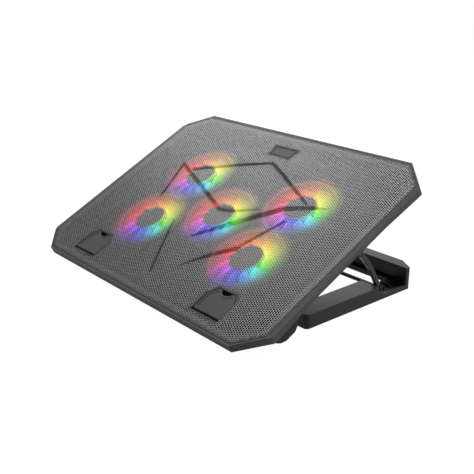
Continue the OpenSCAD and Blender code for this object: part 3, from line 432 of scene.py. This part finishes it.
# Pressed creases: points of (x, y, width), shallow, with painted shade along them
CREASES = [
    [(-87, 168, 5.0), (-40, 190, 4.5), (2, 208, 4.0), (30, 196, 3.6), (88, 169, 3.0)],
    [(-111, 171, 3.0), (-80, 158.5, 4.5), (2, 127, 4.5)],
    [(2, 127, 5.0), (19, 131, 5.0), (47, 145, 0.6)],
    [(4, 85.5, 4.0), (29, 112, 7.0), (55, 139, 8.0), (72, 155, 7.0), (95, 165, 6.0), (115, 171.5, 1.0)],
    [(25, 46.5, 0.6), (36, 61, 3.0), (49, 75.5, 6.0), (66, 90, 6.5), (68.5, 99, 4.5), (85, 140, 3.0)],
    [(-109, 168, 3.6), (-88.5, 115.5, 2.4)],
    [(-38, 95, 2.8), (2, 29, 2.0)],
]
# Width of their soft edge, their depth, and the share of the glow that is taken out in them as painted
# shade
CREASE_EDGE, CREASE_DEPTH, CREASE_SHADE = 0.9, 0.55, 0.45


def crease_strength(points):
    """From 0 off the creases to 1 along their middle, for points on the sheet."""
    strength = np.zeros(len(points))
    for line in CREASES:
        for (ax, ay, aw), (bx, by, bw) in zip(line, line[1:]):
            a, run = np.array((ax, ay)), np.array((bx - ax, by - ay))
            t = np.clip(((points - a) @ run) / (run @ run), 0, 1)
            gap = np.linalg.norm(points - a - t[:, None] * run, axis=1)
            half = (aw + t * (bw - aw)) / 2
            strength = np.maximum(strength, np.clip((half - gap) / CREASE_EDGE + 0.5, 0, 1))
    return strength


# The lights lie below the sheet, and their glow is drawn where the photograph shows it on the sheet
GLOW_SHIFT = (7.0, -4.0)
# The glow rises over the hub's edge, and fades by a power to nothing at its reach
GLOW_START, GLOW_RISE, GLOW_REACH, GLOW_FADE = HUB_R - 1, 3.0, 46.0, 1.2
GLOW_STEP = 5
# Grey light painted on the sheet over a fan's dark hub
HUB_GLEAM = 0.06


def glow_on_sheet(points):
    """Painted glow: the colour that the lights round each fan throw on the sheet."""
    colour = np.zeros((len(points), 3))
    steps = np.arange(-180, 181, GLOW_STEP)
    table = np.array([glow_colour(a) for a in steps])
    for centre in FANS:
        away = points - np.array(centre) - np.array(GLOW_SHIFT)
        radius = np.hypot(away[:, 0], away[:, 1])
        angle = np.degrees(np.arctan2(away[:, 1], away[:, 0]))
        rise = np.clip((radius - GLOW_START) / GLOW_RISE, 0, 1)
        fall = np.clip((GLOW_REACH - radius) / (GLOW_REACH - HUB_R), 0, 1) ** GLOW_FADE
        hue = np.stack([np.interp(angle, steps, channel) for channel in table.T], axis=1)
        colour += hue * (rise * fall)[:, None]
        colour += HUB_GLEAM * (1 - rise)[:, None]
    return colour


# Surface of the sheet

def perforated_cells():
    """Hole cells of the sheet as (column, row), the row counted in half pitches."""
    columns = int(DECK_W / 2 / PITCH_X)
    rows = int(DECK_D / PITCH_Y)
    keys = np.array([(i, 2 * j + i % 2) for i in range(-columns, columns + 1) for j in range(1, rows)])
    middle = np.stack([keys[:, 0] * PITCH_X, keys[:, 1] * PITCH_Y / 2], axis=1)
    keep = np.ones(len(keys), bool)
    outline = sheet_outline(MESH_GAP + PLAIN_EDGE)
    windows = sheet_windows(STOP_EDGE, PLATE_EDGE)
    for dx in (-0.5, 0.5):
        for dy in (-0.5, 0, 0.5):
            corner = middle + np.array((dx * PITCH_X, dy * PITCH_Y))
            keep &= on_sheet(corner, outline, windows)
    return [tuple(int(k) for k in key) for key in keys[keep]]


def holed_surface(cells):
    """Points and faces of the cells round their holes, and each hole vertex's hole middle."""
    points, index, faces, hole_middle = [], {}, [], {}

    def grid_point(p, q):
        if (p, q) not in index:
            index[p, q] = len(points)
            points.append(((p + 0.5) * PITCH_X, q * PITCH_Y / 2))
        return index[p, q]

    corners = [(-HOLE_SIDE, -HOLE_HIGH), (HOLE_SIDE, -HOLE_HIGH), (HOLE_TIP, 0),
               (HOLE_SIDE, HOLE_HIGH), (-HOLE_SIDE, HOLE_HIGH), (-HOLE_TIP, 0)]
    following = [*range(1, len(corners)), 0]
    for i, q in cells:
        ring = [grid_point(*key) for key in
                ((i - 1, q - 1), (i, q - 1), (i, q), (i, q + 1), (i - 1, q + 1), (i - 1, q))]
        middle = (i * PITCH_X, q * PITCH_Y / 2)
        hole = []
        for x, y in corners:
            hole_middle[len(points)] = middle
            hole.append(len(points))
            points.append((middle[0] + x, middle[1] + y))
        faces += [(ring[a], ring[b], hole[b], hole[a]) for a, b in enumerate(following)]
    return points, faces, hole_middle


def plain_border(cells, points, holed_faces, hole_middle):
    """Faces between the cells, the outline and the windows. Their new points join the others."""
    closeness = 1e-6
    edges = set()
    for face in holed_faces:
        for a, b in zip(face, face[1:] + face[:1]):
            if a not in hole_middle and b not in hole_middle:
                edges ^= {(min(a, b), max(a, b))}
    used = sorted({v for edge in edges for v in edge})
    flat = [Vector(points[v]) for v in used]
    place = {v: n for n, v in enumerate(used)}
    links = [(place[a], place[b]) for a, b in edges]
    outline, windows = sheet_outline(MESH_GAP), sheet_windows()
    for loop in [outline] + windows:
        first = len(flat)
        flat += [Vector(p) for p in loop]
        links += [(first + k, first + (k + 1) % len(loop)) for k in range(len(loop))]
    made, _, triangles, origin, _, _ = delaunay_2d_cdt(flat, links, [], 0, closeness)
    number = []
    for point, source in zip(made, origin):
        if source and source[0] < len(used):
            number.append(used[source[0]])
        else:
            number.append(len(points))
            points.append((point.x, point.y))
    spots = np.array([np.mean([made[v] for v in t], axis=0) for t in triangles])

    # Triangles that fill a cell with a hole are left out
    holed = set(cells)
    faces = []
    for triangle, spot, wanted in zip(triangles, spots, on_sheet(spots, outline, windows)):
        column = round(spot[0] / PITCH_X)
        row = round((spot[1] / PITCH_Y * 2 - column % 2) / 2) * 2 + column % 2
        if wanted and (column, row) not in holed:
            faces.append(tuple(number[v] for v in triangle))
    return faces


# Solid strips of the sheet

# Bake map: the margin round each side of a strip, and how far outer walls lie beside their edge
MAP_MARGIN, WALL_SHIFT = 2.0, 0.3


def bake_map(flat, sunk, upper, walls):
    """Corners of a strip's map: upper side on the left, lower side on the right, walls at their edges."""
    width, depth = np.ptp(flat, axis=0)
    span = max(2 * width + 4 * MAP_MARGIN, depth + 2 * MAP_MARGIN)
    low = flat.min(axis=0) - MAP_MARGIN
    upper_uv = (flat - low) / span
    lower_uv = upper_uv + np.array(((width + 2 * MAP_MARGIN) / span, 0))
    sunk_uv = (sunk - low) / span
    corners = []
    for face in upper:
        corners += [upper_uv[v] for v in face]
    for face in upper:
        corners += [lower_uv[v] for v in reversed(face)]
    for a, b in walls:
        corners += [upper_uv[b], upper_uv[a], sunk_uv[a], sunk_uv[b]]
    return np.array(corners, np.float32)


def sheet_strip(name, points, faces, plain, hole_middle, materials):
    """One strip of the sheet as a closed solid, with its bake map laid flat."""
    used = sorted({v for face in faces for v in face})
    place = {v: n for n, v in enumerate(used)}
    flat = points[used]
    count = len(used)
    upper = [tuple(place[v] for v in face) for face in faces]
    lower = [tuple(v + count for v in reversed(face)) for face in upper]
    rim = {}
    for face in upper:
        for a, b in zip(face, face[1:] + face[:1]):
            if (b, a) in rim:
                del rim[b, a]
            else:
                rim[a, b] = True
    walls = [(b, a, a + count, b + count) for a, b in rim]
    strength = crease_strength(flat)
    top = np.column_stack([flat, SHEET_TOP - CREASE_DEPTH * strength])
    solid = np.concatenate([top, top - np.array((0, 0, SHEET_T))])
    mesh = bpy.data.meshes.new(name)
    mesh.from_pydata([tuple(DECK @ Vector(p)) for p in solid], [], upper + lower + walls)

    # Painted shade along the creases, in the paint and in the glow, which is dimmed there
    mesh.attributes.new("crease", "FLOAT", "POINT").data.foreach_set("value", np.tile(strength, 2))
    glow = np.tile(glow_on_sheet(flat) * (1 - CREASE_SHADE * strength[:, None]), (2, 1))
    colours = np.column_stack([glow, np.ones(len(glow))])
    mesh.attributes.new("glow", "FLOAT_COLOR", "POINT").data.foreach_set("color", colours.ravel())

    # The walls of a hole are mapped halfway to its middle, and the others beside their edge
    toward = np.array([hole_middle.get(v, points[v] + 2 * WALL_SHIFT) for v in used])
    layer = mesh.uv_layers.new(name="OFBake")
    layer.uv.foreach_set("vector", bake_map(flat, (flat + toward) / 2, upper, rim).ravel())
    for material in materials:
        mesh.materials.append(material)
    slots = np.zeros(len(mesh.polygons), np.int32)
    # The plain border takes the second material, which is painted shade
    slots[:len(upper)] = plain
    slots[2 * len(upper):] = 2
    mesh.polygons.foreach_set("material_index", slots)
    mesh.validate()
    piece = new_object(name, mesh)
    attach(piece, "deck")
    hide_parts("mesh_panel")


def make_sheet():
    """The sheet in strips side by side, each small enough to be written out whole."""
    cells = perforated_cells()
    points, holed_faces, hole_middle = holed_surface(cells)
    border = plain_border(cells, points, holed_faces, hole_middle)
    points = np.array(points)
    # The sheet's paint with painted glow and crease shade, then its plain border and hole walls, both near
    # black as painted shade
    materials = (sheet_material(), sheet_edge_shade, hole_wall_material())
    step = (DECK_W - 2 * RIM_BEVEL) / STRIPS
    strips = [[] for _ in range(STRIPS)]
    for n, face in enumerate(holed_faces + border):
        x = sum(points[v][0] for v in face) / len(face)
        strip = min(STRIPS - 1, max(0, int((x + DECK_W / 2 - RIM_BEVEL) / step)))
        strips[strip].append((face, n >= len(holed_faces)))
    for n, strip in enumerate(strips, 1):
        faces, plain = zip(*strip)
        sheet_strip(f"mesh_strip_{n}", points, faces, plain, hole_middle, materials)


make_sheet()


# Name plate and finger guards

def finished(made, name, *materials):
    """An object from a bmesh that is complete."""
    mesh = bpy.data.meshes.new(name)
    made.to_mesh(mesh)
    made.free()
    for material in materials:
        mesh.materials.append(material)
    return new_object(name, mesh)


def make_plate():
    """A bare face, a little sunk in a dark rim that stands proud of the sheet."""
    rim, slope, proud, recess, foot, edge = 1.5, 0.35, 0.25, 0.45, 2.0, 0.2
    made = bmesh.new()
    face = made.faces.new([made.verts.new((x, y, 0)) for x, y in plate_window(0)])
    made.normal_update()
    low = bmesh.ops.extrude_face_region(made, geom=[face])
    for v in [g for g in low["geom"] if isinstance(g, bmesh.types.BMVert)]:
        v.co.z = -MESH_T - foot
    bmesh.ops.recalc_face_normals(made, faces=made.faces)
    top = max(made.faces, key=lambda f: f.calc_center_median().z)
    for v in top.verts:
        v.co.z = proud
    bmesh.ops.inset_region(made, faces=[top], thickness=rim, depth=0)
    bmesh.ops.inset_region(made, faces=[top], thickness=slope, depth=-recess)
    top.material_index = 1
    made.transform(DECK)
    piece = finished(made, "name_plate_bare", plate_rim, plate_face)
    round_edges(piece, edge)
    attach(piece, "deck")
    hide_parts("name_plate")


def make_guard_bars():
    """Thin bars of the finger guards, between the wide ones."""
    width, height = 1.0, 1.6
    step = 2 * FAN_R / (GUARD_BARS + 1)
    level = COVER_T / 2 - RIM_H - TRAY_DEPTH
    made = bmesh.new()
    for x, y in FANS:
        for bar in range(GUARD_BARS + 1):
            off = (bar + 0.5) * step - FAN_R
            length = 2 * math.sqrt(FAN_R ** 2 - off ** 2)
            place = DECK @ Matrix.Translation((x, y + off, level))
            bmesh.ops.create_cube(made, size=1, matrix=place @ Matrix.Diagonal((length, width, height, 1)))
    piece = finished(made, "guard_bars", cover_plastic)
    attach(piece, "deck")


make_plate()
make_guard_bars()


# Floor, light and camera

# Floor: half its side in metres, its grey, and the strength and share of the white that the camera sees
FLOOR_REACH, FLOOR_GREY, FLOOR_WHITE, FLOOR_SHARE = 6.0, 0.4, 1.14, 0.85
# World: the light that it gives, and the white that the camera sees
WORLD_LIGHT, WORLD_WHITE = 0.25, 1.0
# Camera fitted to the photograph: lens and sensor in millimetres, angles in degrees, the rest in metres
LENS, SENSOR = 60.47, 36.0
AZIMUTH, ELEVATION, DISTANCE = 49.71, 19.80, 0.9
TARGET = (-0.0431, 0.0585, 0.0082)


def seen_rays(tree):
    """1 for rays from the camera, off a shiny surface or through a clear one, and 0 for the others."""
    path = tree.nodes.new("ShaderNodeLightPath")
    seen = path.outputs["Is Camera Ray"]
    for kind in ("Is Glossy Ray", "Is Transmission Ray"):
        either = maths(tree, "ShaderNodeMath", "MAXIMUM", seen, path.outputs[kind])
        seen = either.outputs["Value"]
    return seen


def mix_shaders(tree, factor, first, second, output):
    """Shows a mix of two shaders."""
    made = tree.nodes.new("ShaderNodeMixShader")
    for socket, source in zip(made.inputs, (factor, first, second)):
        tree.links.new(source, socket)
    tree.links.new(made.outputs["Shader"], tree.nodes[output].inputs["Surface"])


def make_floor():
    """A floor that shows white to the camera and in reflections, and keeps some of its shade."""
    mesh = bpy.data.meshes.new("floor")
    corners = [(-1, -1), (1, -1), (1, 1), (-1, 1)]
    mesh.from_pydata([(x * FLOOR_REACH, y * FLOOR_REACH, 0) for x, y in corners], [], [(0, 1, 2, 3)])
    floor = new_object("floor", mesh)
    material, tree, principled = shader("floor_white", (FLOOR_GREY,) * 3, 0.9)
    share = maths(tree, "ShaderNodeMath", "MULTIPLY", seen_rays(tree), FLOOR_SHARE)
    white = add(tree, "ShaderNodeEmission", Color=(1, 1, 1, 1), Strength=FLOOR_WHITE)
    mix_shaders(tree, share.outputs["Value"], principled.outputs["BSDF"], white.outputs["Emission"],
                "Material Output")
    mesh.materials.append(material)


def make_world():
    """Even light from all round, seen as white."""
    world = bpy.data.worlds.new("studio")
    bpy.context.scene.world = world
    world.use_nodes = True
    tree = world.node_tree
    light = tree.nodes["Background"]
    light.inputs["Color"].default_value = (1, 1, 1, 1)
    light.inputs["Strength"].default_value = WORLD_LIGHT
    white = add(tree, "ShaderNodeBackground", Color=(1, 1, 1, 1), Strength=WORLD_WHITE)
    mix_shaders(tree, seen_rays(tree), light.outputs["Background"], white.outputs["Background"],
                "World Output")


def make_lamp(name, place, aim, size, power):
    """A square lamp aimed at a point, in metres and watts."""
    lamp = bpy.data.lights.new(name, "AREA")
    lamp.size = size
    lamp.energy = power
    holder = new_object(name, lamp)
    holder.location = place
    holder.rotation_euler = (Vector(aim) - Vector(place)).to_track_quat("-Z", "Y").to_euler()


def make_camera():
    """The photograph's view."""
    camera = bpy.data.cameras.new("camera")
    camera.sensor_width = SENSOR
    camera.lens = LENS
    azimuth, elevation = math.radians(AZIMUTH), math.radians(ELEVATION)
    away = Vector((math.sin(azimuth) * math.cos(elevation),
                   -math.cos(azimuth) * math.cos(elevation), math.sin(elevation)))
    holder = new_object("camera", camera)
    holder.location = Vector(TARGET) + away * DISTANCE
    holder.rotation_euler = (-away).to_track_quat("-Z", "Y").to_euler()
    bpy.context.scene.camera = holder


make_floor()
make_world()
make_lamp("key", (-0.96, 0.61, 0.89), (0, 0, 0.05), 1.0, 15.4)
make_lamp("top", (0.25, -0.05, 1.5), (0, 0, 0.05), 1.2, 6)
make_lamp("back", (0.45, 1.3, 0.9), (0.1, 0.05, 0.02), 0.9, 22)
make_camera()
bpy.context.scene.view_settings.view_transform = "Standard"
